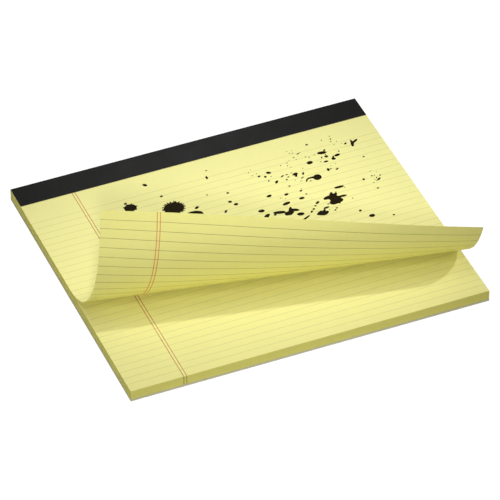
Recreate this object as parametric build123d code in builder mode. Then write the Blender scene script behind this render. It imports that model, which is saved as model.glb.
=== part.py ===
from build123d import *
import os
from math import cos, degrees, hypot, pi, radians, sin

# Ruled writing pad, bound with tape along one long edge. It lies on its board, and the free edge
# of its first sheet is rolled up and back. Millimetres. The origin is the middle of the pad's
# footprint on its underside, +X runs along the binding, +Y points to the binding and +Z is up.

# Sheets and board
pad_length = 279.4          # 11 in, along the binding
pad_depth = 241.3           # 9.5 in, from the binding to the free edge
board_thickness = 1.9
page_block_height = 7.7     # 77 sheets of 0.1 mm paper
sheet_thickness = 0.15      # the first sheet, a little over real paper so that its curl stays solid

# Binding tape, folded over the back edge
tape_thickness = 0.25
tape_flap = 21.5            # width of the flap on the sheets, and of the one under the board
tape_fold_radius = 0.4      # outside radius where the tape turns over the back edge

# Staples through the sheets and the board, under the tape
staple_places = (-95, 0, 95)
staple_setback = 9.5        # from the back edge
staple_span = 12.1          # between the centres of its legs
staple_clinch = 4.5         # length of leg that is bent over under the board
wire_thickness = 0.5        # flat stitching wire, measured in the plane of the staple
wire_width = 0.6
wire_bend = 0.4             # radius of the wire's centre line at each bend
groove_clearance = 0.05     # beside the crown and the bent legs

# Curl of the first sheet: a round roll whose axis is turned a little from the binding, so the
# left corner of the free edge is rolled much further over than the right one
curl_radius = 39.6          # of the sheet's upper face, which is the inside of the roll
curl_skew = 10.87           # degrees between the roll's axis and the binding
curl_start = 29.0           # from the origin to the line where the sheet leaves the block
trim_reach = 4              # how far the roll is made too long, and a trimming wall too wide
trim_steps = 24             # stations along each trimming wall
trim_tolerance = 1e-5

# Dried ink on the first sheet
ink_thickness = 0.06
star_point_width = 2.2      # of the short points round the edge of a big blot
facet_length = 0.7          # of the short straight sides that an ink outline is made of
fewest_facets = 10

# Each blot is one or more ovals: distance right of the pad's middle, distance down from the back
# edge, length, width, and the tilt of its length in degrees
ink_ovals = [
    # left part of the sheet
    (-45.5, 33.8, 3.6, 2.4, -50), (-38.9, 50.6, 2.3, 2.0, 40), (-61.2, 46.9, 2.6, 1.5, 35),
    (-72.4, 58.2, 2.0, 1.4, -20), (-24.2, 79.6, 9.5, 5.6, -22), (-20.4, 80.2, 5.0, 3.4, -50),
    (-19.7, 73.4, 4.4, 2.2, 30), (-7.1, 62.2, 1.5, 1.1, 60), (3.1, 35.8, 1.4, 1.2, 0),
    (0.3, 43.6, 3.2, 1.7, 85), (7.9, 66.0, 2.0, 1.7, 30), (5.5, 76.2, 2.7, 2.3, -20),
    (8.5, 80.5, 3.0, 2.5, 0), (-1.6, 85.3, 3.3, 1.6, 48),
    # scattered drops in the middle
    (36.8, 57.3, 2.2, 1.8, 60), (41.0, 59.5, 2.2, 2.0, 0), (45.0, 56.2, 3.5, 2.5, -25),
    (41.5, 65.0, 2.2, 1.0, 60), (46.4, 68.4, 3.5, 1.9, 48), (52.8, 63.9, 3.0, 1.2, 35),
    (56.5, 63.4, 2.0, 1.1, 10), (56.7, 66.4, 2.0, 1.1, 35), (54.4, 68.8, 1.9, 1.5, 40),
    (62.8, 65.2, 3.8, 2.3, 10), (62.6, 67.0, 3.2, 1.8, 80), (68.5, 67.0, 3.4, 1.3, 62),
    (65.8, 71.3, 3.2, 1.0, 28), (34.8, 81.3, 3.8, 2.3, 12), (47.3, 84.5, 3.2, 2.1, 10),
    (58.9, 84.8, 2.6, 1.5, 35), (53.3, 76.5, 1.8, 1.2, 0), (61.2, 89.7, 1.5, 1.4, 0),
    (56.2, 92.9, 4.0, 2.3, 5), (43.2, 94.2, 5.8, 2.8, 12), (22.9, 95.0, 4.4, 3.0, -8),
    # ragged row below them
    (25.1, 101.1, 4.0, 2.2, 15), (23.5, 102.7, 3.8, 2.4, 5), (33.2, 101.1, 6.2, 2.4, -10),
    (35.8, 102.1, 5.4, 2.8, -5), (30.5, 102.9, 2.3, 1.8, 0), (40.9, 105.2, 7.0, 4.0, 10),
    (42.9, 102.6, 7.4, 2.3, 68), (46.6, 103.4, 5.2, 2.6, -32), (48.3, 109.3, 5.0, 3.2, -8),
    (50.2, 115.0, 7.8, 1.5, 26), (47.5, 116.3, 2.6, 1.2, -10), (56.8, 110.0, 2.7, 1.5, 40),
    (59.4, 107.8, 2.1, 1.6, 30), (62.0, 105.0, 1.8, 1.5, 0), (64.9, 102.1, 3.6, 1.9, 32),
    (63.8, 114.6, 8.8, 3.6, 0), (64.2, 115.6, 4.6, 3.4, 0), (62.6, 113.2, 3.6, 2.4, 30),
    (66.2, 112.0, 2.6, 1.4, 45), (68.7, 109.9, 4.2, 1.8, 5),
    # drop with a bent tail
    (76.5, 75.0, 6.2, 5.6, 35), (72.0, 73.7, 4.8, 1.6, 0), (69.2, 74.0, 3.2, 1.3, 28),
    (67.7, 75.5, 2.8, 1.3, 62), (70.2, 77.0, 1.7, 1.1, -10),
    # right part of the sheet
    (78.0, 57.2, 4.4, 3.3, 5), (74.2, 44.0, 1.7, 1.4, 0), (84.2, 36.9, 2.1, 1.7, 0),
    (69.2, 47.0, 1.4, 1.2, 0), (103.4, 37.6, 1.9, 1.1, 60), (91.0, 50.0, 6.6, 3.0, -8),
    (94.0, 47.7, 2.1, 1.5, 40), (92.3, 55.2, 2.8, 2.4, 0), (88.7, 55.0, 2.1, 1.2, 70),
    (89.7, 60.6, 3.5, 1.8, 4), (100.6, 56.8, 4.3, 2.4, 14), (96.8, 57.8, 3.0, 1.3, 60),
    (96.3, 59.8, 3.0, 2.3, -10), (103.5, 53.1, 1.8, 1.2, 50), (87.5, 69.9, 3.0, 1.8, 80),
    (89.6, 69.8, 2.0, 1.0, 10), (94.0, 71.8, 2.5, 1.5, 30), (116.3, 49.2, 5.0, 1.9, 75),
    (116.8, 46.2, 3.4, 1.2, 88), (119.4, 46.8, 5.0, 1.7, 32), (111.7, 46.7, 2.2, 1.2, 40),
    (118.0, 66.3, 1.8, 1.5, 0), (86.8, 91.7, 7.8, 2.7, -2), (107.3, 90.6, 2.3, 1.7, 80),
    (114.6, 89.2, 1.6, 1.2, 20), (118.0, 94.6, 3.6, 1.5, 35), (117.0, 92.5, 1.8, 1.0, 60),
    (120.6, 90.9, 1.8, 1.1, 70), (90.3, 122.8, 2.4, 2.0, 40), (96.1, 131.3, 4.3, 3.0, 0),
    (111.2, 136.7, 2.0, 1.5, 0), (113.0, 104.0, 1.9, 1.5, 0),
    # the largest, ragged blot
    (78.2, 102.4, 7.4, 6.4, 60), (73.9, 99.8, 6.4, 3.0, 12), (77.6, 98.2, 6.6, 2.4, 66),
    (80.3, 98.6, 4.6, 2.2, 40), (78.4, 106.5, 9.4, 4.2, 3), (75.6, 106.9, 3.8, 2.8, -20),
    (85.2, 102.2, 5.8, 2.1, -4), (81.6, 104.8, 3.6, 3.0, -40), (73.7, 115.1, 2.0, 1.4, 40),
    (75.6, 113.2, 2.0, 1.4, 30), (71.6, 106.6, 1.6, 1.0, -30),
]

# Big round blots with short points round them: right, down, radius, reach of a point, points
ink_stars = [
    (-35.8, 66.6, 6.2, 1.5, 15),
    (-65.0, 54.0, 3.8, 1.2, 9),
]

half_length = pad_length / 2
half_depth = pad_depth / 2
sheet_base = board_thickness + page_block_height
sheet_top = sheet_base + sheet_thickness
staple_y = half_depth - staple_setback
crown_bottom = sheet_top - wire_thickness
clinch_top = tape_thickness + wire_thickness
groove_width = wire_width + 2 * groove_clearance
groove_length = staple_span + wire_thickness + 2 * groove_clearance
leg_hole_radius = hypot(wire_bend, wire_width / 2)
leg_places = [(x + side * staple_span / 2, staple_y) for x in staple_places for side in (-1, 1)]

# The roll's own directions: along its axis, and across it, away from the binding
skew = radians(curl_skew)
roll_axis = Vector(cos(skew), -sin(skew), 0)
roll_across = Vector(-sin(skew), -cos(skew), 0)
roll_section = Plane(origin=(0, 0, sheet_top), x_dir=roll_across, z_dir=-roll_axis)
roll_travel = half_length * sin(skew) + half_depth * cos(skew) - curl_start + trim_reach
roll_degrees = degrees(roll_travel / curl_radius)


def rolled(x, y, lift):
    """Where the flat sheet's point x, y goes in the roll, raised off its upper face by lift."""
    along = x * cos(skew) - y * sin(skew)
    turn = (-x * sin(skew) - y * cos(skew) - curl_start) / curl_radius
    radius = curl_radius - lift
    across = curl_start + radius * sin(turn)
    height = sheet_top + curl_radius - radius * cos(turn)
    return roll_axis * along + roll_across * across + Vector(0, 0, height)


def trimming_wall(start, end):
    """Wall that stands square to the rolled sheet along the flat sheet's line from start to end."""
    rows = []
    for step in range(trim_steps + 1):
        share = step / trim_steps
        x = start[0] + (end[0] - start[0]) * share
        y = start[1] + (end[1] - start[1]) * share
        rows.append([rolled(x, y, -trim_reach), rolled(x, y, trim_reach)])
    return Face.make_surface_from_array_of_points(rows, tol=trim_tolerance)


def on_sheet(x, travel=0):
    """Flat sheet's point at x that lies travel past the line where the sheet leaves the block."""
    return x, -(curl_start + travel + x * sin(skew)) / cos(skew)


def end_wall(x):
    """Trimming wall for the end of the sheet at x, over the whole turn of the roll."""
    return trimming_wall(on_sheet(x, -trim_reach), on_sheet(x, roll_travel + trim_reach))


def ink_oval(length, width, tilt=0):
    """Oval patch of ink with short straight sides, about the current location."""
    facets = max(fewest_facets, round(pi * (length + width) / 2 / facet_length))
    angles = [2 * pi * facet / facets for facet in range(facets)]
    outline = [(length / 2 * cos(angle), width / 2 * sin(angle)) for angle in angles]
    Polygon(*outline, rotation=tilt, align=None)


def sheet_plan(height):
    """Rectangle of a whole sheet at a height."""
    with BuildSketch(Plane.XY.offset(height)) as plan:
        Rectangle(pad_length, pad_depth)
    return plan.sketch


def staple_grooves(height):
    """Plan of the straight grooves that the staples press, at a height."""
    with BuildSketch(Plane.XY.offset(height)) as plan:
        with Locations([(x, staple_y) for x in staple_places]):
            Rectangle(groove_length, groove_width)
    return plan.sketch


def staple_leg_holes(height):
    """Plan of the holes that the staples' legs make, at a height."""
    with BuildSketch(Plane.XY.offset(height)) as plan:
        with Locations(leg_places):
            Circle(leg_hole_radius)
    return plan.sketch


os.makedirs("parts", exist_ok=True)

# Chipboard back, let in by the tape's thickness where the tape's lower flap is pressed into it
with BuildPart() as backing_board:
    extrude(sheet_plan(0), amount=board_thickness)
    with BuildSketch():
        with Locations((0, half_depth - tape_flap / 2)):
            Rectangle(pad_length, tape_flap)
    extrude(amount=tape_thickness, mode=Mode.SUBTRACT)
    extrude(staple_grooves(0), amount=clinch_top, mode=Mode.SUBTRACT)
    extrude(staple_leg_holes(0), amount=board_thickness, mode=Mode.SUBTRACT)
backing_board.part.label = "backing_board"
export_step(backing_board.part, "parts/backing_board.step")

# All the sheets under the first one
with BuildPart() as page_block:
    extrude(sheet_plan(board_thickness), amount=page_block_height)
    extrude(staple_leg_holes(board_thickness), amount=page_block_height, mode=Mode.SUBTRACT)
    extrude(staple_grooves(crown_bottom), amount=sheet_top - crown_bottom, mode=Mode.SUBTRACT)
page_block.part.label = "page_block"
export_step(page_block.part, "parts/page_block.step")

# First sheet: one piece of paper, flat from the binding to the line where it leaves the block,
# and from there a round roll, trimmed to the sheet's left, right and free edges
free_edge_reach = half_length + trim_reach
free_edge_wall = trimming_wall((-free_edge_reach, -half_depth), (free_edge_reach, -half_depth))
with BuildPart() as top_sheet:
    with BuildSketch(roll_section):
        with BuildLine():
            inside = CenterArc((curl_start, curl_radius), curl_radius, -90, roll_degrees)
            outside = CenterArc((curl_start, curl_radius), curl_radius + sheet_thickness, -90, roll_degrees)
            Line(inside @ 0, outside @ 0)
            Line(inside @ 1, outside @ 1)
        make_face()
    extrude(amount=pad_length, both=True)
    split(bisect_by=end_wall(-half_length), keep=Keep.BOTTOM)
    split(bisect_by=end_wall(half_length), keep=Keep.TOP)
    split(bisect_by=free_edge_wall, keep=Keep.BOTTOM)
    with BuildSketch(Plane.XY.offset(sheet_base)):
        with BuildLine():
            Polyline(
                (-half_length, half_depth),
                (half_length, half_depth),
                on_sheet(half_length),
                on_sheet(-half_length),
                close=True,
            )
        make_face()
    extrude(amount=sheet_thickness)
    extrude(staple_grooves(sheet_base), amount=sheet_thickness, mode=Mode.SUBTRACT)
top_sheet.part.label = "top_sheet"
export_step(top_sheet.part, "parts/top_sheet.step")

# Tape: one strip folded round the back edge, from the first sheet to the underside of the board
with BuildPart() as binding_tape:
    with BuildSketch(Plane.YZ):
        with BuildLine():
            Polyline(
                (half_depth - tape_flap, sheet_top),
                (half_depth, sheet_top),
                (half_depth, tape_thickness),
                (half_depth - tape_flap, tape_thickness),
                (half_depth - tape_flap, 0),
                (half_depth + tape_thickness, 0),
                (half_depth + tape_thickness, sheet_top + tape_thickness),
                (half_depth - tape_flap, sheet_top + tape_thickness),
                close=True,
            )
        make_face()
    extrude(amount=half_length, both=True)
    outer_folds = binding_tape.edges().filter_by(Axis.X).group_by(Axis.Y)[-1]
    fillet(outer_folds, tape_fold_radius)
binding_tape.part.label = "binding_tape"
export_step(binding_tape.part, "parts/binding_tape.step")

# Staples: flat wire, crown pressed flush with the first sheet, legs bent over under the board
leg_x = staple_span / 2
crown_z = crown_bottom + wire_thickness / 2
clinch_z = clinch_top - wire_thickness / 2
with BuildPart() as staples:
    for place in staple_places:
        with BuildLine(Plane.XZ.offset(-staple_y)) as wire_path:
            FilletPolyline(
                (place - leg_x + staple_clinch, clinch_z),
                (place - leg_x, clinch_z),
                (place - leg_x, crown_z),
                (place + leg_x, crown_z),
                (place + leg_x, clinch_z),
                (place + leg_x - staple_clinch, clinch_z),
                radius=wire_bend,
            )
        with BuildSketch(wire_path.line ^ 0):
            Rectangle(wire_thickness, wire_width)
        sweep(path=wire_path.line)
staples.part.label = "staples"
export_step(staples.part, "parts/staples.step")

# Dried ink, thin films on the flat part of the first sheet
with BuildPart() as ink_blots:
    with BuildSketch(Plane.XY.offset(sheet_top)):
        for right, down, length, width, tilt in ink_ovals:
            with Locations((right, half_depth - down)):
                ink_oval(length, width, tilt)
        for right, down, radius, reach, points in ink_stars:
            with Locations((right, half_depth - down)):
                ink_oval(2 * radius, 2 * radius)
                with PolarLocations(radius, points):
                    ink_oval(2 * reach, star_point_width)
    extrude(amount=ink_thickness)
ink_blots.part.label = "ink_blots"
export_step(ink_blots.part, "parts/ink_blots.step")
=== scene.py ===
"""Looks of a ruled writing pad: tape binding, a block of yellow sheets on a chipboard back, and a
first sheet that is rolled up from its free edge and spotted with dried ink. Lengths are in metres,
and those in the lists of ink are in millimetres."""

from math import cos, degrees, radians, sin
from random import Random

import bpy
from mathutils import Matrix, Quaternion, Vector, noise


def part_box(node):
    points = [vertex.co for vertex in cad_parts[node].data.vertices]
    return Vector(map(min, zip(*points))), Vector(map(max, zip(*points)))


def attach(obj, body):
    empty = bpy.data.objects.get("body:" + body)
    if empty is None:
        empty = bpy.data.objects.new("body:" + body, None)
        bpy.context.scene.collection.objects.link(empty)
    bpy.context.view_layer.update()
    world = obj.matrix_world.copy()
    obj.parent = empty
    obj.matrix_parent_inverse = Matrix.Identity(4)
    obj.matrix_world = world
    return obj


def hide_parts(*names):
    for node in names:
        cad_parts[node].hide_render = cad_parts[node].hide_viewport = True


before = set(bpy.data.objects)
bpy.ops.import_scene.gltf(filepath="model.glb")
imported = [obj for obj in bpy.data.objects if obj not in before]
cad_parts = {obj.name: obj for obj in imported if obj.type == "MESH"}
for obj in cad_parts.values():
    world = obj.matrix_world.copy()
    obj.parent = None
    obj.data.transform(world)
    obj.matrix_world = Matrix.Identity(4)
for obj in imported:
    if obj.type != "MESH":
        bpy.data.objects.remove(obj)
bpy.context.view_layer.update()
block_low, block_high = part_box("page_block")
tape_low, tape_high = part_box("binding_tape")
tape_thickness = tape_high[1] - block_high[1]    # the tape stands out behind the block by that much
sheet_top = tape_high[2] - tape_thickness        # height of the first sheet's face

bl_info = {
    "name": "Ruled writing pad",
    "version": (1, 0, 0),
    "blender": (4, 5, 0),
    "location": "View3D > Sidebar > Writing pad",
    "description": "Dresses a tape-bound ruled pad whose first sheet is rolled back",
    "category": "Object",
}

MM = 0.001
FLAT_PLACE = "flat_place"      # UV map: metres right of a sheet's left edge, and down from its back edge
SHEET_TONE = "sheet_tone"      # how much darker or lighter than the rest a sheet of the block is
PAPER_SIDE = "paper_side"      # 1 on a sheet's face, -1 on its back and 0 on its cut edges
NOISE_SPAN = {1: 0.3, 2: 0.7}  # for a Map Range: the values that a noise mostly keeps to
SOFT_EDGE = 0.2                # how far a printed line fades at its edges, as a share of its width
STACK_SEED = 7                 # decides how each sheet of the block lies
SPECK_SEED = 11                # decides where the finest specks of ink lie
OUTLINE_SEED = 5               # decides how the outlines of the ink wander
SPECK_SIZES = 0.7, 1.1         # smallest and largest of the finest specks, in mm
BALL_THRESHOLD = 0.6           # strength of the ink's metaballs at their surface
BALL_REACH = 1.739             # a metaball's reach over the radius of its surface, at that threshold

# Dried ink, in mm: right of the pad's middle, down from the back edge, length, width, tilt in degrees
INK_OVALS = [
    # left part of the sheet
    (-45.9, 33.8, 4.0, 2.7, -50), (-39.3, 50.6, 2.4, 2.1, 40), (-67.2, 48.2, 2.6, 1.8, 35),
    (-72.8, 58.2, 1.9, 1.4, -20), (-24.4, 78.7, 12.6, 6.4, -8), (-20.8, 80.2, 5.6, 3.8, -50),
    (-20.1, 72.9, 4.0, 2.2, 30), (-7.5, 62.2, 1.5, 1.1, 60), (2.7, 35.8, 1.4, 1.2, 0),
    (-0.1, 43.6, 3.6, 1.9, 85), (7.5, 66.0, 2.1, 1.8, 30), (5.1, 76.2, 3.0, 2.6, -20),
    (8.1, 80.5, 3.4, 2.8, 0), (-2.0, 85.3, 3.7, 1.8, 48),
    # scattered drops in the middle
    (36.4, 57.3, 2.3, 1.9, 60), (40.6, 59.5, 2.3, 2.1, 0), (44.6, 56.2, 3.9, 2.8, -25),
    (41.1, 65.0, 2.1, 1.0, 60), (46.0, 68.4, 3.9, 2.1, 48), (52.4, 63.9, 3.2, 1.3, 35),
    (56.1, 63.4, 1.9, 1.1, 10), (56.3, 66.4, 1.9, 1.1, 35), (54.0, 68.8, 1.8, 1.5, 40),
    (62.4, 65.2, 4.3, 2.6, 10), (62.2, 67.0, 3.6, 2.0, 80), (68.1, 67.0, 3.6, 1.4, 62),
    (65.4, 71.3, 3.1, 1.0, 28), (34.4, 81.3, 4.3, 2.6, 12), (46.9, 84.5, 3.6, 2.4, 10),
    (58.5, 84.8, 2.8, 1.6, 35), (52.9, 76.5, 1.7, 1.2, 0), (60.8, 89.7, 1.5, 1.4, 0),
    (55.8, 92.9, 4.5, 2.6, 5), (42.8, 94.2, 6.5, 3.1, 12), (22.5, 95.0, 4.9, 3.4, -8),
    # ragged row below them
    (24.7, 101.1, 4.5, 2.5, 15), (23.1, 102.7, 4.3, 2.7, 5), (32.8, 101.1, 6.9, 2.7, -10),
    (35.4, 102.1, 6.0, 3.1, -5), (30.1, 102.9, 2.4, 1.9, 0), (40.5, 105.2, 7.8, 4.5, 10),
    (42.5, 102.6, 8.3, 2.6, 68), (46.2, 103.4, 5.8, 2.9, -32), (47.9, 109.3, 5.6, 3.6, -8),
    (49.8, 115.0, 8.7, 1.7, 26), (47.1, 116.3, 2.5, 1.2, -10), (56.4, 110.0, 2.9, 1.6, 40),
    (59.0, 107.8, 2.2, 1.7, 30), (61.6, 105.0, 1.7, 1.5, 0), (64.5, 102.1, 4.0, 2.1, 32),
    (63.4, 114.6, 9.9, 4.0, 0), (63.8, 115.6, 5.2, 3.8, 0), (62.2, 113.2, 4.0, 2.7, 30),
    (65.8, 112.0, 2.8, 1.5, 45), (68.3, 109.9, 4.7, 2.0, 5),
    # drop with a bent tail
    (76.1, 75.0, 6.9, 6.3, 35), (71.6, 73.7, 5.4, 1.8, 0), (68.8, 74.0, 3.4, 1.4, 28),
    (67.3, 75.5, 3.0, 1.4, 62), (69.8, 77.0, 1.6, 1.1, -10),
    # right part of the sheet
    (77.6, 57.2, 4.9, 3.7, 5), (73.8, 44.0, 1.6, 1.4, 0), (83.8, 36.9, 2.2, 1.8, 0),
    (68.8, 47.0, 1.4, 1.2, 0), (103.0, 37.6, 1.8, 1.1, 60), (90.6, 50.0, 7.4, 3.4, -8),
    (93.6, 47.7, 2.0, 1.5, 40), (91.9, 55.2, 3.1, 2.7, 0), (88.3, 55.0, 2.0, 1.2, 70),
    (89.3, 60.6, 3.9, 2.0, 4), (100.2, 56.8, 4.8, 2.7, 14), (96.4, 57.8, 3.2, 1.4, 60),
    (95.9, 59.8, 3.4, 2.6, -10), (103.1, 53.1, 1.7, 1.2, 50), (87.1, 69.9, 3.4, 2.0, 80),
    (89.2, 69.8, 1.9, 1.0, 10), (93.6, 71.8, 2.7, 1.6, 30), (115.9, 49.2, 6.2, 2.4, 75),
    (116.4, 46.2, 4.2, 1.5, 88), (119.0, 46.8, 6.2, 2.1, 32), (111.3, 46.7, 2.8, 1.5, 40),
    (117.6, 66.3, 1.7, 1.5, 0), (86.4, 91.7, 7.8, 2.7, -2), (106.9, 90.6, 2.4, 1.8, 80),
    (114.2, 89.2, 1.6, 1.2, 20), (117.6, 94.6, 4.0, 1.7, 35), (116.6, 92.5, 1.7, 1.0, 60),
    (120.2, 90.9, 1.7, 1.1, 70), (89.9, 122.8, 2.5, 2.1, 40), (95.7, 131.3, 4.8, 3.4, 0),
    (110.8, 136.7, 1.9, 1.5, 0), (112.6, 104.0, 1.8, 1.5, 0),
    # the largest, ragged blot
    (77.8, 102.4, 8.3, 7.2, 60), (73.5, 99.8, 7.2, 3.4, 12), (77.2, 98.2, 7.4, 2.7, 66),
    (79.9, 98.6, 5.2, 2.5, 40), (78.0, 106.5, 10.5, 4.7, 3), (75.2, 106.9, 4.3, 3.1, -20),
    (84.8, 102.2, 6.5, 2.4, -4), (81.2, 104.8, 4.0, 3.4, -40), (73.3, 115.1, 1.9, 1.4, 40),
    (75.2, 113.2, 1.9, 1.4, 30), (71.2, 106.6, 1.6, 1.0, -30),
]

# Big round blots with short points round them: right, down, length, width, reach of a point, points
INK_STARS = [
    (-35.9, 66.8, 15.4, 13.4, 1.2, 24),
    (-65.4, 54.2, 9.6, 8.4, 0.7, 7),
]

# Patches of fine specks: right, down, reach, specks
INK_SPRAY = [
    (102.0, 39.0, 7, 7), (70.5, 45.0, 7, 9), (57.5, 57.0, 6, 4), (66.5, 67.0, 8, 7), (118.0, 90.0, 7, 7),
    (86.0, 58.0, 10, 6), (31.7, 49.1, 2, 2), (39.0, 59.0, 8, 3), (50.0, 90.0, 12, 4), (80.0, 104.0, 11, 5),
]


def linear(hex_colour):
    """Linear colour of an sRGB hex value."""
    channels = [int(hex_colour[start:start + 2], 16) / 255 for start in (1, 3, 5)]
    return [c / 12.92 if c <= 0.04045 else ((c + 0.055) / 1.055) ** 2.4 for c in channels]


def toned(colour, factor=1.0):
    """Colour for a socket, made darker or lighter by a factor."""
    return [min(1.0, channel * factor) for channel in colour] + [1.0]


def per_metre(*lengths):
    """Scale of a pattern whose grains are this long, in mm along x, y and z."""
    return [1 / (length * MM) for length in lengths]


def add_node(tree, kind, sockets=None, **settings):
    """New node with its settings. A value of sockets is a constant, or a node or socket to link from.
    A Map Range takes its value at 0, the range it comes from at 1 and 2 and the one it goes to at 3
    and 4. A Mix takes its share at 0 and its two colours at 6 and 7."""
    node = tree.nodes.new(kind)
    for name, value in settings.items():
        setattr(node, name, value)
    for name, value in (sockets or {}).items():
        if isinstance(value, bpy.types.Node):
            value = next(output for output in value.outputs if output.enabled)
        if isinstance(value, bpy.types.NodeSocket):
            tree.links.new(value, node.inputs[name])
        else:
            node.inputs[name].default_value = value
    return node


def new_material(name):
    """Empty node material, and its tree."""
    material = bpy.data.materials.new(name)
    material.use_nodes = True
    material.node_tree.nodes.clear()
    return material, material.node_tree


def finish_surface(tree, colour, finish, height, height_size):
    """Ends a tree in a shader of this colour and finish, with a bump of height_size metres."""
    bump = add_node(tree, "ShaderNodeBump", {"Height": height, "Distance": height_size, "Strength": 1.0})
    shader = add_node(tree, "ShaderNodeBsdfPrincipled", {"Base Color": colour, "Normal": bump, **finish})
    add_node(tree, "ShaderNodeOutputMaterial", {"Surface": shader})


def ruled_print(tree, tone, page, ruling_strength, margin_colour, margin_strength):
    """Tone with the rulings and the two margin lines printed on it, on a sheet with a FLAT_PLACE map."""
    place = add_node(tree, "ShaderNodeUVMap", uv_map=FLAT_PLACE)
    axes = add_node(tree, "ShaderNodeSeparateXYZ", {0: place})
    right, down = axes.outputs[0], axes.outputs[1]

    # The rulings end half a pitch before the first one and half a pitch after the last one
    pitch = page.ruling_pitch
    last = pitch * (page.ruling_count - 0.5)
    below_first = add_node(tree, "ShaderNodeMath", {0: down, 1: page.first_ruling}, operation="SUBTRACT")
    to_ruling = add_node(tree, "ShaderNodeMath", {0: below_first, 1: pitch / 2}, operation="PINGPONG")
    starts = add_node(tree, "ShaderNodeMath", {0: below_first, 1: -pitch / 2}, operation="GREATER_THAN")
    ends = add_node(tree, "ShaderNodeMath", {0: below_first, 1: last}, operation="LESS_THAN")
    ruled = add_node(tree, "ShaderNodeMath", {0: starts, 1: ends}, operation="MULTIPLY")

    # How far it is to the nearer one of the two margin lines
    to_margin = right
    for distance in (page.margin_place + page.margin_gap / 2, page.margin_gap / 2):
        to_margin = add_node(tree, "ShaderNodeMath", {0: to_margin, 1: distance}, operation="SUBTRACT")
        to_margin = add_node(tree, "ShaderNodeMath", {0: to_margin}, operation="ABSOLUTE")

    # The ink lies unevenly on the fibres, in patches of about a millimetre
    uneven = {"Vector": place, "Scale": 1 / (1.111 * MM), "Detail": 2.0}
    patches = add_node(tree, "ShaderNodeTexNoise", uneven)
    cover = add_node(tree, "ShaderNodeMapRange", {0: patches, **NOISE_SPAN, 3: 0.75, 4: 1.0})
    for distance, width, shares, ink in (
        (to_ruling, page.ruling_width, (ruled, cover, ruling_strength), page.ruling_colour),
        (to_margin, page.margin_width, (cover, margin_strength), margin_colour),
    ):
        soft = width * SOFT_EDGE
        mask = add_node(
            tree,
            "ShaderNodeMapRange",
            {0: distance, 1: width / 2 - soft, 2: width / 2 + soft, 3: 1.0, 4: 0.0},
            interpolation_type="SMOOTHSTEP",
        )
        for share in shares:
            mask = add_node(tree, "ShaderNodeMath", {0: mask, 1: share}, operation="MULTIPLY")
        tone = add_node(tree, "ShaderNodeMix", {0: mask, 6: tone, 7: toned(ink)}, data_type="RGBA")
    return tone


def paper_body(tree, paper_colour):
    """Tone and height of uncoated paper: cloudy formation over about 4 mm, and short fibres."""
    place = add_node(tree, "ShaderNodeTexCoord").outputs["Object"]
    clouds = {"Vector": place, "Scale": 1 / (3.85 * MM), "Detail": 4.0, "Roughness": 0.6}
    formation = add_node(tree, "ShaderNodeTexNoise", clouds)
    shade = add_node(tree, "ShaderNodeMapRange", {0: formation, 1: 0.25, 2: 0.75, 3: 0.965, 4: 1.0})
    share = add_node(tree, "ShaderNodeMapRange", {0: formation, **NOISE_SPAN, 3: 0.0, 4: 0.35})
    tones = {0: share, 6: toned(paper_colour), 7: toned(paper_colour, 0.93)}
    tone = add_node(tree, "ShaderNodeMix", tones, data_type="RGBA")
    # Fibres are about 1 mm long and 0.03 mm wide, drawn 0.3 mm wide so that they show
    laid = add_node(tree, "ShaderNodeMapping", {"Vector": place, "Scale": per_metre(1.111, 0.3125, 0.3125)})
    fibres = add_node(tree, "ShaderNodeTexNoise", {"Vector": laid, "Scale": 1.0, "Detail": 3.0})
    height = add_node(tree, "ShaderNodeMath", {0: fibres, 1: shade}, operation="MULTIPLY")
    return tone, height


def ruled_paper(name, colour, margin_colour, page, ruling_strength):
    """Uncoated canary-yellow writing paper, machine made and printed in two colours. It is matt, with
    a cloudy formation and a faint tooth."""
    material, tree = new_material(name)
    tone, height = paper_body(tree, colour)
    tone = ruled_print(tree, tone, page, ruling_strength, margin_colour, 1.0)
    finish_surface(tree, tone, {"Roughness": 0.6, "Specular IOR Level": 0.15}, height, 0.02 * MM)
    return material


def cut_paper_edges(paper, page):
    """Guillotined edges of the same paper, with fine layers and a faint trace of the lines that run off
    the sheet. Their deeper and greener yellow is partly the paper's own and partly painted shade, for light
    that sinks in between the sheets."""
    material, tree = new_material("guillotined_paper_edges")
    place = add_node(tree, "ShaderNodeTexCoord").outputs["Object"]
    # Groups of about seven sheets were cut a little differently, which shows as bands
    laid = add_node(tree, "ShaderNodeMapping", {"Vector": place, "Scale": per_metre(40, 40, 0.6667)})
    bands = add_node(tree, "ShaderNodeTexNoise", {"Vector": laid, "Scale": 1.0, "Detail": 3.0})
    tone_of_sheet = add_node(tree, "ShaderNodeAttribute", attribute_name=SHEET_TONE).outputs["Fac"]
    light = add_node(tree, "ShaderNodeMapRange", {0: bands, **NOISE_SPAN, 3: -0.3, 4: 0.3})
    light = add_node(tree, "ShaderNodeMath", {0: light, 1: tone_of_sheet}, operation="ADD")
    share = add_node(tree, "ShaderNodeMapRange", {0: light, 1: -1.0, 2: 1.0, 3: 0.0, 4: 1.0})
    tones = {0: share, 6: toned(paper.edge_colour_with_painted_shade, 0.86), 7: toned(paper.edge_colour_with_painted_shade, 1.12)}
    tone = add_node(tree, "ShaderNodeMix", tones, data_type="RGBA")
    ruling_trace, margin_trace = 0.25, 0.9
    tone = ruled_print(tree, tone, page, ruling_trace, linear("#6E5A24"), margin_trace)
    # Burrs of the blade's cut, 0.3 mm apart
    burrs = add_node(tree, "ShaderNodeTexNoise", {"Vector": place, "Scale": 1 / (0.3333 * MM), "Detail": 2.0})
    finish_surface(tree, tone, {"Roughness": 0.85, "Specular IOR Level": 0.2}, burrs, 0.03 * MM)
    return material


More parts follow.
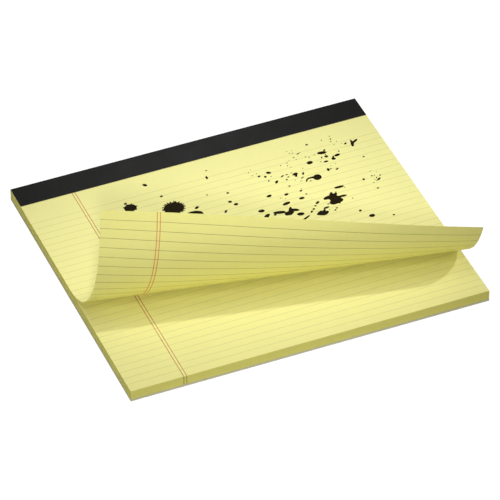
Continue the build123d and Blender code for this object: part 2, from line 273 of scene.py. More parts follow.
def coated_binding_tape(binding):
    """Black paper tape with a dull latex coat, calendered with a fine grain. It has a soft sheen,
    and shows its grey paper core along worn edges."""
    material, tree = new_material("coated_binding_tape")
    place = add_node(tree, "ShaderNodeTexCoord").outputs["Object"]
    # The calender's grain is about 0.3 mm, drawn 0.9 mm so that it shows. The coat is cloudy over
    # 14 mm, and finely pitted every 0.7 mm
    grains = {"Vector": place, "Scale": 1 / (0.9 * MM), "Randomness": 1.0}
    grain = add_node(tree, "ShaderNodeTexVoronoi", grains, feature="SMOOTH_F1")
    cloud = add_node(tree, "ShaderNodeTexNoise", {"Vector": place, "Scale": 1 / (14.3 * MM), "Detail": 5.0})
    fine = add_node(tree, "ShaderNodeTexNoise", {"Vector": place, "Scale": 1 / (0.7143 * MM), "Detail": 3.0})

    # Rubbed along the flap's front edge and along the upper fold at the back
    across = add_node(tree, "ShaderNodeVectorMath", {0: place, 1: (0.0, 1.0, 1.0)}, operation="MULTIPLY")
    ragged = add_node(tree, "ShaderNodeMapRange", {0: fine, **NOISE_SPAN, 3: -0.25 * MM, 4: 0.25 * MM})
    rubbed = 0.0
    for edge, reach, most in ((tape_low[1], 0.5 * MM, 1.0), (tape_high[1], 0.7 * MM, 0.6)):
        line = (0.0, edge, tape_high[2])
        away = add_node(tree, "ShaderNodeVectorMath", {0: across, 1: line}, operation="DISTANCE")
        away = add_node(tree, "ShaderNodeMath", {0: away, 1: ragged}, operation="ADD")
        worn = add_node(tree, "ShaderNodeMapRange", {0: away, 1: 0.0, 2: reach, 3: most, 4: 0.0})
        rubbed = add_node(tree, "ShaderNodeMath", {0: worn, 1: rubbed}, operation="MAXIMUM")
    patchy = add_node(tree, "ShaderNodeMapRange", {0: cloud, 1: 0.4, 2: 0.65, 3: 0.1, 4: 0.5})
    worn = add_node(tree, "ShaderNodeMath", {0: rubbed, 1: patchy}, operation="MULTIPLY")

    share = add_node(tree, "ShaderNodeMapRange", {0: cloud, 1: 0.35, 2: 0.7, 3: 0.0, 4: 0.6})
    coat = {0: share, 6: toned(binding.tape_colour), 7: toned(binding.tape_colour, 1.5)}
    tone = add_node(tree, "ShaderNodeMix", coat, data_type="RGBA")
    core = {0: worn, 6: tone, 7: toned(linear("#6A675F"))}
    tone = add_node(tree, "ShaderNodeMix", core, data_type="RGBA")
    rough = add_node(tree, "ShaderNodeMapRange", {0: cloud, **NOISE_SPAN, 3: 0.3, 4: 0.4})
    height = add_node(tree, "ShaderNodeMath", {0: grain, 1: fine}, operation="ADD")
    finish_surface(tree, tone, {"Roughness": rough, "Specular IOR Level": 0.03}, height, 0.03 * MM)
    return material


def grey_chipboard(binding):
    """Unlined chipboard, pressed from waste paper. It is a warm grey with darker and lighter fibres
    and specks, and its cut edge is layered."""
    material, tree = new_material("grey_chipboard")
    place = add_node(tree, "ShaderNodeTexCoord").outputs["Object"]
    # Fibre clumps, about 4 mm long and 0.6 mm wide, laid along the board in layers of 0.2 mm
    laid = add_node(tree, "ShaderNodeMapping", {"Vector": place, "Scale": per_metre(4, 0.625, 0.2222)})
    fibres = add_node(tree, "ShaderNodeTexNoise", {"Vector": laid, "Scale": 1.0, "Detail": 4.0})
    share = add_node(tree, "ShaderNodeMapRange", {0: fibres, **NOISE_SPAN})
    tones = {0: share, 6: toned(binding.board_colour, 0.8), 7: toned(binding.board_colour, 1.15)}
    tone = add_node(tree, "ShaderNodeMix", tones, data_type="RGBA")
    # Specks of printed waste, 3.5 mm apart and up to 0.8 mm across
    specks = add_node(tree, "ShaderNodeTexVoronoi", {"Vector": place, "Scale": 1 / (3.5 * MM)})
    speck = add_node(tree, "ShaderNodeMapRange", {0: specks, 1: 0.08, 2: 0.14, 3: 0.7, 4: 0.0})
    picked = add_node(tree, "ShaderNodeSeparateColor", {0: specks.outputs["Color"]})
    waste = {0: picked, 6: toned(linear("#4E4B47")), 7: toned(linear("#C9C3B2"))}
    waste_tone = add_node(tree, "ShaderNodeMix", waste, data_type="RGBA")
    tone = add_node(tree, "ShaderNodeMix", {0: speck, 6: tone, 7: waste_tone}, data_type="RGBA")
    finish_surface(tree, tone, {"Roughness": 0.88, "Specular IOR Level": 0.2}, fibres, 0.06 * MM)
    return material


def galvanised_stitching_wire():
    """Drawn and galvanised steel wire: dull grey metal, with fine lines along the wire."""
    material, tree = new_material("galvanised_stitching_wire")
    place = add_node(tree, "ShaderNodeTexCoord").outputs["Object"]
    # Drawing lines, 0.1 mm wide and about 2.5 mm long
    drawn = add_node(tree, "ShaderNodeMapping", {"Vector": place, "Scale": per_metre(2.5, 0.1111, 0.1111)})
    lines = add_node(tree, "ShaderNodeTexNoise", {"Vector": drawn, "Scale": 1.0, "Detail": 2.0})
    zinc = {0: lines, 6: toned(linear("#9B9DA0")), 7: toned(linear("#C6C8CA"))}
    tone = add_node(tree, "ShaderNodeMix", zinc, data_type="RGBA")
    rough = add_node(tree, "ShaderNodeMapRange", {0: lines, **NOISE_SPAN, 3: 0.3, 4: 0.5})
    finish_surface(tree, tone, {"Roughness": rough, "Metallic": 1.0}, lines, 0.01 * MM)
    return material


def dried_drawing_ink(ink):
    """Black drawing ink dried on paper: brown black, a little glossy where it pooled and duller
    where the paper drank it."""
    material, tree = new_material("dried_drawing_ink")
    place = add_node(tree, "ShaderNodeTexCoord").outputs["Object"]
    # Pools 2.4 mm apart, and a crackle of 0.4 mm
    pools = add_node(tree, "ShaderNodeTexNoise", {"Vector": place, "Scale": 1 / (2.381 * MM), "Detail": 3.0})
    crackle = add_node(tree, "ShaderNodeTexNoise", {"Vector": place, "Scale": 1 / (0.4 * MM), "Detail": 2.0})
    share = add_node(tree, "ShaderNodeMapRange", {0: pools, 1: 0.35, 2: 0.65})
    tones = {0: share, 6: toned(ink.ink_colour), 7: toned(ink.ink_colour, 1.7)}
    tone = add_node(tree, "ShaderNodeMix", tones, data_type="RGBA")
    rough = add_node(tree, "ShaderNodeMapRange", {0: pools, 1: 0.35, 2: 0.65, 3: 0.42, 4: 0.65})
    finish_surface(tree, tone, {"Roughness": rough, "Specular IOR Level": 0.02}, crackle, 0.01 * MM)
    return material


def direct_look(tree):
    """1 for rays from the camera, and for those that a shiny or clear surface sends on."""
    rays = add_node(tree, "ShaderNodeLightPath").outputs
    looks = rays["Is Camera Ray"]
    for kind in ("Is Glossy Ray", "Is Transmission Ray"):
        looks = add_node(tree, "ShaderNodeMath", {0: looks, 1: rays[kind]}, operation="MAXIMUM")
    return looks


def pale_floor():
    """Seamless white paper backdrop, lit to white, with the pad's shadow faintly on it."""
    material, tree = new_material("white_backdrop_paper")
    # The glow alone is a little under white, and the lit grey on top of it keeps the shadow
    glow = add_node(tree, "ShaderNodeEmission", {"Color": toned(linear("#FFFFFF")), "Strength": 0.93})
    faint = add_node(tree, "ShaderNodeBsdfDiffuse", {"Color": toned(linear("#7C7C7C"))})
    seen = add_node(tree, "ShaderNodeAddShader", {0: glow, 1: faint})
    bounce = add_node(tree, "ShaderNodeBsdfDiffuse", {"Color": toned(linear("#D2D2D2"))})
    floor = add_node(tree, "ShaderNodeMixShader", {0: direct_look(tree), 1: bounce, 2: seen})
    add_node(tree, "ShaderNodeOutputMaterial", {"Surface": floor})
    return material


def sheet_tree(name, lengths, counts):
    """Geometry Nodes tree for sheets, with named inputs, and the sockets that they come in by."""
    tree = bpy.data.node_groups.new(name, "GeometryNodeTree")
    inputs = {
        "NodeSocketFloat": ("Length", "Depth", "Thickness", *lengths),
        "NodeSocketInt": counts,
        "NodeSocketMaterial": ("Face", "Back", "Edges"),
    }
    for kind, labels in inputs.items():
        for label in labels:
            tree.interface.new_socket(name=label, in_out="INPUT", socket_type=kind)
    tree.interface.new_socket(name="Geometry", in_out="OUTPUT", socket_type="NodeSocketGeometry")
    return tree, add_node(tree, "NodeGroupInput").outputs


def flat_sheet(tree, given, cells_x, cells_y):
    """One flat sheet about the origin, with its FLAT_PLACE map and its PAPER_SIDE."""
    lengths = {0: given["Length"], 1: given["Depth"], 2: given["Thickness"]}
    size = add_node(tree, "ShaderNodeCombineXYZ", lengths)
    cells = {"Vertices X": cells_x, "Vertices Y": cells_y, "Vertices Z": 2}
    sheet = add_node(tree, "GeometryNodeMeshCube", {"Size": size, **cells})
    at = add_node(tree, "ShaderNodeSeparateXYZ", {0: add_node(tree, "GeometryNodeInputPosition")})
    half_length = add_node(tree, "ShaderNodeMath", {0: given["Length"], 1: 0.5}, operation="MULTIPLY")
    half_depth = add_node(tree, "ShaderNodeMath", {0: given["Depth"], 1: 0.5}, operation="MULTIPLY")
    right = add_node(tree, "ShaderNodeMath", {0: at.outputs[0], 1: half_length}, operation="ADD")
    down = add_node(tree, "ShaderNodeMath", {0: half_depth, 1: at.outputs[1]}, operation="SUBTRACT")
    place = add_node(tree, "ShaderNodeCombineXYZ", {0: right, 1: down})
    sheet = add_node(
        tree,
        "GeometryNodeStoreNamedAttribute",
        {"Geometry": sheet, "Name": FLAT_PLACE, "Value": place},
        data_type="FLOAT2",
        domain="CORNER",
    )
    upward = add_node(tree, "ShaderNodeSeparateXYZ", {0: add_node(tree, "GeometryNodeInputNormal")})
    side = add_node(tree, "ShaderNodeMath", {0: upward.outputs[2]}, operation="ROUND")
    return add_node(
        tree,
        "GeometryNodeStoreNamedAttribute",
        {"Geometry": sheet, "Name": PAPER_SIDE, "Value": side},
        data_type="FLOAT",
        domain="FACE",
    )


def paper_materials_set(tree, given, geometry):
    """Ends a tree: edges, face and back of every sheet get their paper."""
    side = add_node(tree, "GeometryNodeInputNamedAttribute", {"Name": PAPER_SIDE}, data_type="FLOAT")
    face = add_node(tree, "ShaderNodeMath", {0: side, 1: 0.5}, operation="GREATER_THAN")
    back = add_node(tree, "ShaderNodeMath", {0: side, 1: -0.5}, operation="LESS_THAN")
    done = add_node(tree, "GeometryNodeRealizeInstances", {"Geometry": geometry})
    for chosen, paper in ((True, "Edges"), (face, "Face"), (back, "Back")):
        dressed = {"Geometry": done, "Selection": chosen, "Material": given[paper]}
        done = add_node(tree, "GeometryNodeSetMaterial", dressed)
    add_node(tree, "NodeGroupOutput", {"Geometry": done})


def sheet_stack_tree():
    """Sheets of one size lying on each other, each a little out of line with the rest."""
    tree, given = sheet_tree("cut_sheet_stack", ("Pitch", "Lowest", "Play"), ("Sheets", "Seed"))
    sheet = flat_sheet(tree, given, 2, 2)
    lowest = add_node(tree, "ShaderNodeCombineXYZ", {2: given["Lowest"]})
    step = add_node(tree, "ShaderNodeCombineXYZ", {2: given["Pitch"]})
    line = {"Count": given["Sheets"], "Start Location": lowest, "Offset": step}
    places = add_node(tree, "GeometryNodeMeshLine", line)
    # The knife pushes a sheet sideways or forwards, never back into the tape
    low = add_node(tree, "ShaderNodeVectorMath", {0: (-1.0, -1.0, 0.0), 3: given["Play"]}, operation="SCALE")
    high = add_node(tree, "ShaderNodeVectorMath", {0: (1.0, 0.0, 0.0), 3: given["Play"]}, operation="SCALE")
    pushes = {0: low, 1: high, "Seed": given["Seed"]}
    push = add_node(tree, "FunctionNodeRandomValue", pushes, data_type="FLOAT_VECTOR")
    places = add_node(tree, "GeometryNodeSetPosition", {"Geometry": places, "Offset": push})
    stack = add_node(tree, "GeometryNodeInstanceOnPoints", {"Points": places, "Instance": sheet})
    tones = {2: -0.7, 3: 0.7, "Seed": given["Seed"]}
    tone = add_node(tree, "FunctionNodeRandomValue", tones, data_type="FLOAT")
    stack = add_node(
        tree,
        "GeometryNodeStoreNamedAttribute",
        {"Geometry": stack, "Name": SHEET_TONE, "Value": tone},
        data_type="FLOAT",
        domain="INSTANCE",
    )
    paper_materials_set(tree, given, stack)
    return tree


def rolled_sheet_tree():
    """One sheet, flat from the binding to a slanting line, and a round roll from there on."""
    roll = ("Roll radius", "Roll slant", "Roll start")
    tree, given = sheet_tree("rolled_sheet", ("Top", *roll), ("Columns", "Rows"))
    radius, slant, start = given["Roll radius"], given["Roll slant"], given["Roll start"]
    sheet = flat_sheet(tree, given, given["Columns"], given["Rows"])
    # Smooth all over, but sharp along the rim, where its faces meet at a right angle
    rim = add_node(tree, "GeometryNodeInputMeshEdgeAngle")
    rim = add_node(tree, "ShaderNodeMath", {0: rim, 1: 1.0}, operation="GREATER_THAN")
    sheet = add_node(tree, "GeometryNodeSetShadeSmooth", {0: sheet, "Shade Smooth": True})
    sharp = {0: sheet, "Selection": rim, "Shade Smooth": False}
    sheet = add_node(tree, "GeometryNodeSetShadeSmooth", sharp, domain="EDGE")

    # Turned so that x runs along the roll's axis and -y away from the binding
    turning = {"Vector": add_node(tree, "GeometryNodeInputPosition"), "Angle": slant}
    turned = add_node(tree, "ShaderNodeVectorRotate", turning, rotation_type="Z_AXIS")
    at = add_node(tree, "ShaderNodeSeparateXYZ", {0: turned})
    away = add_node(tree, "ShaderNodeMath", {0: at.outputs[1], 1: -1.0}, operation="MULTIPLY")
    past = add_node(tree, "ShaderNodeMath", {0: away, 1: start}, operation="SUBTRACT")
    rolled = add_node(tree, "ShaderNodeMath", {0: past, 1: 0.0}, operation="MAXIMUM")
    flat = add_node(tree, "ShaderNodeMath", {0: away, 1: start}, operation="MINIMUM")
    turn = add_node(tree, "ShaderNodeMath", {0: rolled, 1: radius}, operation="DIVIDE")

    # The face is the inside of the roll, so the back's radius is larger by the sheet's thickness
    half = add_node(tree, "ShaderNodeMath", {0: given["Thickness"], 1: 0.5}, operation="MULTIPLY")
    drop = add_node(tree, "ShaderNodeMath", {0: half, 1: at.outputs[2]}, operation="SUBTRACT")
    reach = add_node(tree, "ShaderNodeMath", {0: radius, 1: drop}, operation="ADD")
    sine = add_node(tree, "ShaderNodeMath", {0: turn}, operation="SINE")
    cosine = add_node(tree, "ShaderNodeMath", {0: turn}, operation="COSINE")
    across = add_node(tree, "ShaderNodeMath", {0: reach, 1: sine, 2: flat}, operation="MULTIPLY_ADD")
    back = add_node(tree, "ShaderNodeMath", {0: across, 1: -1.0}, operation="MULTIPLY")
    below_axis = add_node(tree, "ShaderNodeMath", {0: reach, 1: cosine}, operation="MULTIPLY")
    axis_height = add_node(tree, "ShaderNodeMath", {0: given["Top"], 1: radius}, operation="ADD")
    height = add_node(tree, "ShaderNodeMath", {0: axis_height, 1: below_axis}, operation="SUBTRACT")
    place = add_node(tree, "ShaderNodeCombineXYZ", {0: at.outputs[0], 1: back, 2: height})
    slant_back = add_node(tree, "ShaderNodeMath", {0: slant, 1: -1.0}, operation="MULTIPLY")
    turning = {"Vector": place, "Angle": slant_back}
    place = add_node(tree, "ShaderNodeVectorRotate", turning, rotation_type="Z_AXIS")
    sheet = add_node(tree, "GeometryNodeSetPosition", {"Geometry": sheet, "Position": place})
    paper_materials_set(tree, given, sheet)
    return tree


def plain_mesh_of(maker, name):
    """Replaces an object by a plain mesh object of its evaluated shape."""
    bpy.context.view_layer.update()
    mesh = bpy.data.meshes.new_from_object(maker.evaluated_get(bpy.context.evaluated_depsgraph_get()))
    bpy.data.objects.remove(maker)
    if not mesh.polygons:
        raise RuntimeError(f"{name} came out empty")
    mesh.name = name
    piece = bpy.data.objects.new(name, mesh)
    bpy.context.scene.collection.objects.link(piece)
    return piece


def made_by_nodes(name, tree, values):
    """Plain mesh object that a Geometry Nodes tree makes from values for its named inputs."""
    maker = bpy.data.objects.new(name + "_maker", bpy.data.meshes.new(name + "_maker"))
    bpy.context.scene.collection.objects.link(maker)
    modifier = maker.modifiers.new("shape", "NODES")
    modifier.node_group = tree
    for socket in tree.interface.items_tree:
        if socket.in_out == "INPUT":
            modifier[socket.identifier] = values[socket.name]
    return plain_mesh_of(maker, name)


def sheet_values(thickness):
    """Inputs that the trees of both kinds of sheet share."""
    papers = bpy.data.materials
    return {
        "Length": block_high[0] - block_low[0],
        "Depth": block_high[1] - block_low[1],
        "Thickness": thickness,
        "Face": papers["ruled_canary_paper_face"],
        "Back": papers["ruled_canary_paper_back_with_painted_glow"],
        "Edges": papers["guillotined_paper_edges"],
    }


def add_drop(field, right, down, length, width, tilt):
    """Oval drop in a field of metaballs, in mm, with its tilt in degrees."""
    ball = field.elements.new(type="ELLIPSOID")
    ball.co = (right, -down, 0)
    ball.radius = 1.0
    ball.stiffness = 2.0
    ball.size_x, ball.size_y, ball.size_z = length / 2 * BALL_REACH, width / 2 * BALL_REACH, BALL_REACH
    ball.rotation = Quaternion((0, 0, 1), radians(tilt))


def ink_field(mesh_cell):
    """Metaballs for all the ink, in mm, so that drops which touch flow together."""
    field = bpy.data.metaballs.new("ink_field")
    field.resolution = mesh_cell / MM
    field.threshold = BALL_THRESHOLD
    for oval in INK_OVALS:
        add_drop(field, *oval)
    for right, down, length, width, reach, points in INK_STARS:
        add_drop(field, right, down, length, width, 0)
        for point in range(points):
            # Points 0.8 mm wide, unevenly spaced and standing out unevenly
            step = point + 0.6 * noise.noise((point * 1.7, right, 0))
            out = reach * (0.1 + 0.7 * noise.noise((right, point * 2.3, 1)))
            angle = radians(360 * step / points)
            x = right + (length / 2 + out) * cos(angle)
            y = down - (width / 2 + out) * sin(angle)
            add_drop(field, x, y, 2.0 * reach, 0.8, degrees(angle))
    specks = Random(SPECK_SEED)
    for right, down, reach, count in INK_SPRAY:
        for _ in range(count):
            size = specks.uniform(*SPECK_SIZES)
            x = right + specks.uniform(-reach, reach)
            y = down + specks.uniform(-reach, reach)
            add_drop(field, x, y, size, size, 0)
    return bpy.data.objects.new("ink_field", field)


def film_place(point, ink):
    """Where a point of the ink's metaballs, in mm, lies on the first sheet, in metres."""
    x, y, z = point
    # The outline wanders in waves of 1.4 mm, and half as far in waves of 0.5 mm
    wander = noise.noise_vector((x * 0.7, y * 0.7, 3.0))
    wander += 0.5 * noise.noise_vector((x * 2.1, y * 2.1, 5.0))
    # A thin film that rises steeply at its rim and is nearly flat in the middle
    dome = min(max(z, 0.0), 1.2) ** 0.6
    return (
        x * MM + wander.x * ink.raggedness,
        y * MM + wander.y * ink.raggedness + block_high[1],
        sheet_top + ink.film_height * dome,
    )


def stands_for(piece, node):
    """Puts a piece in the place of a CAD node."""
    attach(piece, "root")
    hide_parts(node)


def dress(node, material):
    """Gives a CAD node's own mesh a material."""
    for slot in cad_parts[node].material_slots:
        slot.material = material


def aimed(thing, place, target):
    """Puts a camera or lamp at a place, looking at a target."""
    thing.location = place
    thing.rotation_mode = "QUATERNION"
    thing.rotation_quaternion = (target - place).to_track_quat("-Z", "Y")
    bpy.context.scene.collection.objects.link(thing)


class PaperSettings(bpy.types.PropertyGroup):
    """Sheets and the roll of the first one"""

    sheet_count: bpy.props.IntProperty(
        name="Sheets", description="Sheets under the first one", default=77, min=1
    )
    sheet_gap: bpy.props.FloatProperty(
        name="Gap", description="Air between two sheets at their cut edges", default=0.01 * MM, unit="LENGTH"
    )
    edge_play: bpy.props.FloatProperty(
        name="Edge play", description="How far a sheet lies out of line", default=0.06 * MM, unit="LENGTH"
    )
    roll_radius: bpy.props.FloatProperty(
        name="Roll radius", description="Radius of the first sheet's roll", default=39.6 * MM, unit="LENGTH"
    )
    roll_slant: bpy.props.FloatProperty(
        name="Roll slant",
        description="Angle between the roll's axis and the binding",
        default=radians(10.87),
        subtype="ANGLE",
    )
    roll_start: bpy.props.FloatProperty(
        name="Roll start",
        description="From the pad's middle to the line where the sheet leaves the block",
        default=29.0 * MM,
        unit="LENGTH",
    )
    mesh_cell: bpy.props.FloatProperty(
        name="Mesh cell", description="Grid size of the rolled sheet", default=1.9 * MM, unit="LENGTH"
    )
    paper_colour: bpy.props.FloatVectorProperty(
        name="Paper", description="Face of the paper", default=linear("#FBF7AB"), subtype="COLOR"
    )
    # The back is a deeper yellow than the face: painted light, the glow of light shining through the rolled
    # sheet
    back_colour_with_painted_glow: bpy.props.FloatVectorProperty(
        name="Paper's back", description="Back of the paper", default=linear("#FBF69B"), subtype="COLOR"
    )
    # Deeper and greener than the face, partly painted shade for light that sinks in between the sheets
    edge_colour_with_painted_shade: bpy.props.FloatVectorProperty(
        name="Cut edges", description="Edges of the block", default=linear("#ECE680"), subtype="COLOR"
    )


class PrintSettings(bpy.types.PropertyGroup):
    """Rulings and margin lines of every sheet"""

    first_ruling: bpy.props.FloatProperty(
        name="First ruling", description="From the back edge", default=43.3 * MM, unit="LENGTH"
    )
    ruling_pitch: bpy.props.FloatProperty(
        name="Pitch", description="Between two rulings", default=6.8 * MM, unit="LENGTH"
    )
    ruling_count: bpy.props.IntProperty(name="Rulings", description="Rulings on a sheet", default=29, min=0)
    ruling_width: bpy.props.FloatProperty(
        name="Ruling width", description="Width of a ruling", default=0.3 * MM, unit="LENGTH"
    )
    ruling_colour: bpy.props.FloatVectorProperty(
        name="Ruling colour",
        description="Ink of the rulings on the paper",
        default=linear("#78741C"),
        subtype="COLOR",
    )
    face_strength: bpy.props.FloatProperty(
        name="On the face",
        description="How strong the rulings are on a sheet's face",
        default=0.44,
        subtype="FACTOR",
    )
    back_strength: bpy.props.FloatProperty(
        name="On the back",
        description="How strong the rulings are on a sheet's back",
        default=0.9,
        subtype="FACTOR",
    )
    margin_place: bpy.props.FloatProperty(
        name="Margin", description="First margin line, from the left edge", default=40.6 * MM, unit="LENGTH"
    )
    margin_gap: bpy.props.FloatProperty(
        name="Margin gap", description="Between the two margin lines", default=2.2 * MM, unit="LENGTH"
    )
    margin_width: bpy.props.FloatProperty(
        name="Margin width", description="Width of a margin line", default=0.5 * MM, unit="LENGTH"
    )
    margin_colour: bpy.props.FloatVectorProperty(
        name="Margin colour",
        description="Ink of the margin lines",
        default=linear("#B8572A"),
        subtype="COLOR",
    )
    back_margin_colour: bpy.props.FloatVectorProperty(
        name="Back margin colour",
        description="Ink of the margin lines on the back of a sheet",
        default=linear("#DE4C22"),
        subtype="COLOR",
    )


class BindingSettings(bpy.types.PropertyGroup):
    """Tape and board"""

    tape_colour: bpy.props.FloatVectorProperty(
        name="Tape", description="Coat of the binding tape", default=linear("#141414"), subtype="COLOR"
    )
    board_colour: bpy.props.FloatVectorProperty(
        name="Board", description="Chipboard of the back", default=linear("#DCD7BE"), subtype="COLOR"
    )


class InkSettings(bpy.types.PropertyGroup):
    """Dried ink on the first sheet"""

    ink_colour: bpy.props.FloatVectorProperty(
        name="Ink", description="Dried ink", default=linear("#181203"), subtype="COLOR"
    )
    film_height: bpy.props.FloatProperty(
        name="Film", description="Height of the dried ink", default=0.05 * MM, unit="LENGTH"
    )
    mesh_cell: bpy.props.FloatProperty(
        name="Mesh cell", description="Grid size of the blots' outlines", default=0.3 * MM, unit="LENGTH"
    )
    raggedness: bpy.props.FloatProperty(
        name="Raggedness", description="How far the outlines wander", default=0.12 * MM, unit="LENGTH"
    )


class StageSettings(bpy.types.PropertyGroup):
    """Floor, light and camera"""

    key_power: bpy.props.FloatProperty(
        name="Key lamp", description="Power of the lamp from the right", default=162.0, unit="POWER"
    )
    key_cone: bpy.props.FloatProperty(
        name="Key cone", description="Opening of the key lamp's beam", default=radians(7.2), subtype="ANGLE"
    )
    front_power: bpy.props.FloatProperty(
        name="Front lamp", description="Power of the lamp at the front", default=140.0, unit="POWER"
    )
    front_cone: bpy.props.FloatProperty(
        name="Front cone", description="Opening of the front lamp's beam", default=radians(9), subtype="ANGLE"
    )
    high_power: bpy.props.FloatProperty(
        name="High softbox", description="Power of the softbox high at the front", default=4.3, unit="POWER"
    )
    top_power: bpy.props.FloatProperty(
        name="Top softbox", description="Power of the softbox above", default=8.5, unit="POWER"
    )
    rear_power: bpy.props.FloatProperty(
        name="Rear softbox", description="Power of the small softbox at the back", default=1.1, unit="POWER"
    )
    room_light: bpy.props.FloatProperty(
        name="Room light", description="Even light from all round", default=0.18, min=0.0
    )
    room_colour: bpy.props.FloatVectorProperty(
        name="Room colour", description="Tint of the even light", default=linear("#FFFACC"), subtype="COLOR"
    )
    view_azimuth: bpy.props.FloatProperty(
        name="Azimuth",
        description="Camera's direction round the pad",
        default=radians(-22.819),
        subtype="ANGLE",
    )
    view_elevation: bpy.props.FloatProperty(
        name="Elevation", description="Camera's height angle", default=radians(40.508), subtype="ANGLE"
    )
    view_distance: bpy.props.FloatProperty(
        name="Distance", description="Camera's distance", default=3.3602, unit="LENGTH"
    )
    view_lens: bpy.props.FloatProperty(
        name="Lens", description="Focal length on a 36 mm sensor, in mm", default=329.58, min=1.0
    )


class NOTEPAD_OT_backing_board(bpy.types.Operator):
    """Give the chipboard back its material"""

    bl_idname = "notepad.backing_board"
    bl_label = "Backing board"

    def execute(self, context):
        dress("backing_board", grey_chipboard(context.scene.notepad_binding))
        return {"FINISHED"}


class NOTEPAD_OT_paper(bpy.types.Operator):
    """Make the papers that the sheets use"""

    bl_idname = "notepad.paper"
    bl_label = "Paper"

    def execute(self, context):
        paper, page = context.scene.notepad_paper, context.scene.notepad_print
        ruled_paper(
            "ruled_canary_paper_face", paper.paper_colour, page.margin_colour, page, page.face_strength
        )
        # The back's deeper yellow is painted light shining through the sheet
        ruled_paper(
            "ruled_canary_paper_back_with_painted_glow", paper.back_colour_with_painted_glow, page.back_margin_colour, page, page.back_strength
        )
        cut_paper_edges(paper, page)
        return {"FINISHED"}


class NOTEPAD_OT_page_block(bpy.types.Operator):
    """Stack the sheets under the first one"""

    bl_idname = "notepad.page_block"
    bl_label = "Page block"

    def execute(self, context):
        paper = context.scene.notepad_paper
        pitch = (block_high[2] - block_low[2]) / paper.sheet_count
        values = sheet_values(pitch - paper.sheet_gap)
        values.update({
            "Pitch": pitch,
            "Lowest": block_low[2] + pitch - values["Thickness"] / 2,
            "Play": paper.edge_play,
            "Sheets": paper.sheet_count,
            "Seed": STACK_SEED,
        })
        stands_for(made_by_nodes("page_block_sheets", sheet_stack_tree(), values), "page_block")
        return {"FINISHED"}


class NOTEPAD_OT_top_sheet(bpy.types.Operator):
    """Roll the first sheet up from its free edge"""

    bl_idname = "notepad.top_sheet"
    bl_label = "First sheet"

    def execute(self, context):
        paper = context.scene.notepad_paper
        values = sheet_values(sheet_top - block_high[2])
        values.update({
            "Top": sheet_top,
            "Roll radius": paper.roll_radius,
            "Roll slant": paper.roll_slant,
            "Roll start": paper.roll_start,
            "Columns": round(values["Length"] / paper.mesh_cell),
            "Rows": round(values["Depth"] / paper.mesh_cell),
        })
        stands_for(made_by_nodes("rolled_first_sheet", rolled_sheet_tree(), values), "top_sheet")
        return {"FINISHED"}


class NOTEPAD_OT_binding_tape(bpy.types.Operator):
    """Give the binding tape its material"""

    bl_idname = "notepad.binding_tape"
    bl_label = "Binding tape"

    def execute(self, context):
        dress("binding_tape", coated_binding_tape(context.scene.notepad_binding))
        return {"FINISHED"}


class NOTEPAD_OT_staples(bpy.types.Operator):
    """Give the staples under the tape their material"""

    bl_idname = "notepad.staples"
    bl_label = "Staples"

    def execute(self, context):
        dress("staples", galvanised_stitching_wire())
        return {"FINISHED"}


class NOTEPAD_OT_ink_blots(bpy.types.Operator):
    """Spot the first sheet with dried ink"""

    bl_idname = "notepad.ink_blots"
    bl_label = "Ink blots"

    def execute(self, context):
        ink = context.scene.notepad_ink
        maker = ink_field(ink.mesh_cell)
        context.scene.collection.objects.link(maker)
        piece = plain_mesh_of(maker, "dried_ink_blots")
        noise.seed_set(OUTLINE_SEED)
        for vertex in piece.data.vertices:
            vertex.co = film_place(vertex.co, ink)
        piece.data.shade_smooth()
        piece.data.set_sharp_from_angle(angle=radians(60))
        piece.data.materials.append(dried_drawing_ink(ink))
        stands_for(piece, "ink_blots")
        return {"FINISHED"}


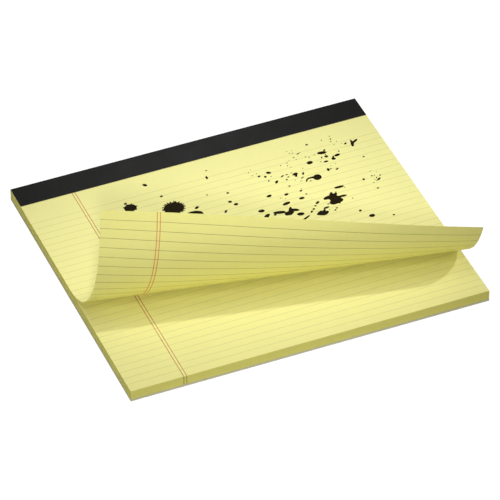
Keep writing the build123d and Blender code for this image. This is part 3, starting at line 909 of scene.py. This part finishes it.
class NOTEPAD_OT_stage(bpy.types.Operator):
    """Make the floor, the light and the camera"""

    bl_idname = "notepad.stage"
    bl_label = "Stage"

    def execute(self, context):
        stage = context.scene.notepad_stage
        scene = context.scene
        scene.view_settings.view_transform = "Standard"

        world = bpy.data.worlds.new("studio")
        world.use_nodes = True
        scene.world = world
        tree = world.node_tree
        tree.nodes.clear()
        seen = direct_look(tree)
        even = {"Color": toned(stage.room_colour), "Strength": stage.room_light}
        room = add_node(tree, "ShaderNodeBackground", even)
        white = add_node(tree, "ShaderNodeBackground", {"Color": toned(linear("#FFFFFF")), "Strength": 1.0})
        light = add_node(tree, "ShaderNodeMixShader", {0: seen, 1: room, 2: white})
        add_node(tree, "ShaderNodeOutputWorld", {"Surface": light})

        # Lies a hair under the pad, so that the board's underside and the floor don't coincide
        mesh = bpy.data.meshes.new("floor")
        reach, low = 8.0, -0.02 * MM
        corners = [(-reach, -reach, low), (reach, -reach, low), (reach, reach, low), (-reach, reach, low)]
        mesh.from_pydata(corners, [], [(0, 1, 2, 3)])
        mesh.materials.append(pale_floor())
        floor = bpy.data.objects.new("floor", mesh)
        scene.collection.objects.link(floor)

        middle = Vector((0.005, -0.01, 0.01))
        left_of_middle = Vector((-0.02, -0.02, 0.01))
        on_tape = Vector((-0.02, 0.11, 0.009))
        # Name, power, opening of the beam, size of the lamp, its place and what it is aimed at
        beams = (
            ("key_lamp", stage.key_power, stage.key_cone, 0.06, (2.255, -0.064, 1.993), middle),
            ("front_lamp", stage.front_power, stage.front_cone, 0.2, (-0.587, -1.578, 1.128), left_of_middle),
        )
        for name, power, cone, size, place, target in beams:
            beam = bpy.data.lights.new(name, "SPOT")
            beam.energy = power
            beam.spot_size = cone
            beam.spot_blend = 1.0
            beam.shadow_soft_size = size
            aimed(bpy.data.objects.new(name, beam), Vector(place), target)
        # Name, power, width, place and what it is aimed at
        softboxes = (
            ("high_softbox", stage.high_power, 0.4, (-0.37, -0.937, 1.742), middle),
            ("top_softbox", stage.top_power, 1.2, (0, 0, 2), middle),
            # Low over the tape, where it gives the tape and the sheet beside it their sheen
            ("rear_softbox", stage.rear_power, 0.25, (0.216, 0.671, 0.529), on_tape),
        )
        for name, power, size, place, target in softboxes:
            soft = bpy.data.lights.new(name, "AREA")
            soft.energy = power
            soft.shape = "DISK"
            soft.size = size
            aimed(bpy.data.objects.new(name, soft), Vector(place), target)

        # The target is what the middle of the frame shows
        camera = bpy.data.objects.new("camera", bpy.data.cameras.new("camera"))
        camera.data.lens = stage.view_lens
        camera.data.sensor_width = 36
        target = Vector((1.61 * MM, -2.01 * MM, 0.6 * MM))
        around, up = stage.view_azimuth, stage.view_elevation
        back = Vector((sin(around) * cos(up), -cos(around) * cos(up), sin(up)))
        aimed(camera, target + back * stage.view_distance, target)
        scene.camera = camera
        return {"FINISHED"}


SETTINGS = {
    "notepad_paper": PaperSettings,
    "notepad_print": PrintSettings,
    "notepad_binding": BindingSettings,
    "notepad_ink": InkSettings,
    "notepad_stage": StageSettings,
}
OPERATORS = (
    NOTEPAD_OT_stage,
    NOTEPAD_OT_paper,
    NOTEPAD_OT_backing_board,
    NOTEPAD_OT_page_block,
    NOTEPAD_OT_top_sheet,
    NOTEPAD_OT_binding_tape,
    NOTEPAD_OT_staples,
    NOTEPAD_OT_ink_blots,
)


class NOTEPAD_PT_parts(bpy.types.Panel):
    """Pieces of the writing pad and their settings"""

    bl_idname = "NOTEPAD_PT_parts"
    bl_label = "Writing pad"
    bl_space_type = "VIEW_3D"
    bl_region_type = "UI"
    bl_category = "Writing pad"

    def draw(self, context):
        for name, kind in SETTINGS.items():
            box = self.layout.box()
            for setting in kind.__annotations__:
                box.prop(getattr(context.scene, name), setting)
        for piece in OPERATORS:
            self.layout.operator(piece.bl_idname)


def register():
    for name, kind in SETTINGS.items():
        bpy.utils.register_class(kind)
        setattr(bpy.types.Scene, name, bpy.props.PointerProperty(type=kind))
    for kind in (*OPERATORS, NOTEPAD_PT_parts):
        bpy.utils.register_class(kind)


def unregister():
    for kind in (*OPERATORS, NOTEPAD_PT_parts):
        bpy.utils.unregister_class(kind)
    for name, kind in SETTINGS.items():
        delattr(bpy.types.Scene, name)
        bpy.utils.unregister_class(kind)


def main():
    register()
    bpy.ops.notepad.stage()
    bpy.ops.notepad.paper()
    bpy.ops.notepad.backing_board()
    bpy.ops.notepad.page_block()
    bpy.ops.notepad.top_sheet()
    bpy.ops.notepad.binding_tape()
    bpy.ops.notepad.staples()
    bpy.ops.notepad.ink_blots()


if __name__ == "__main__":
    main()
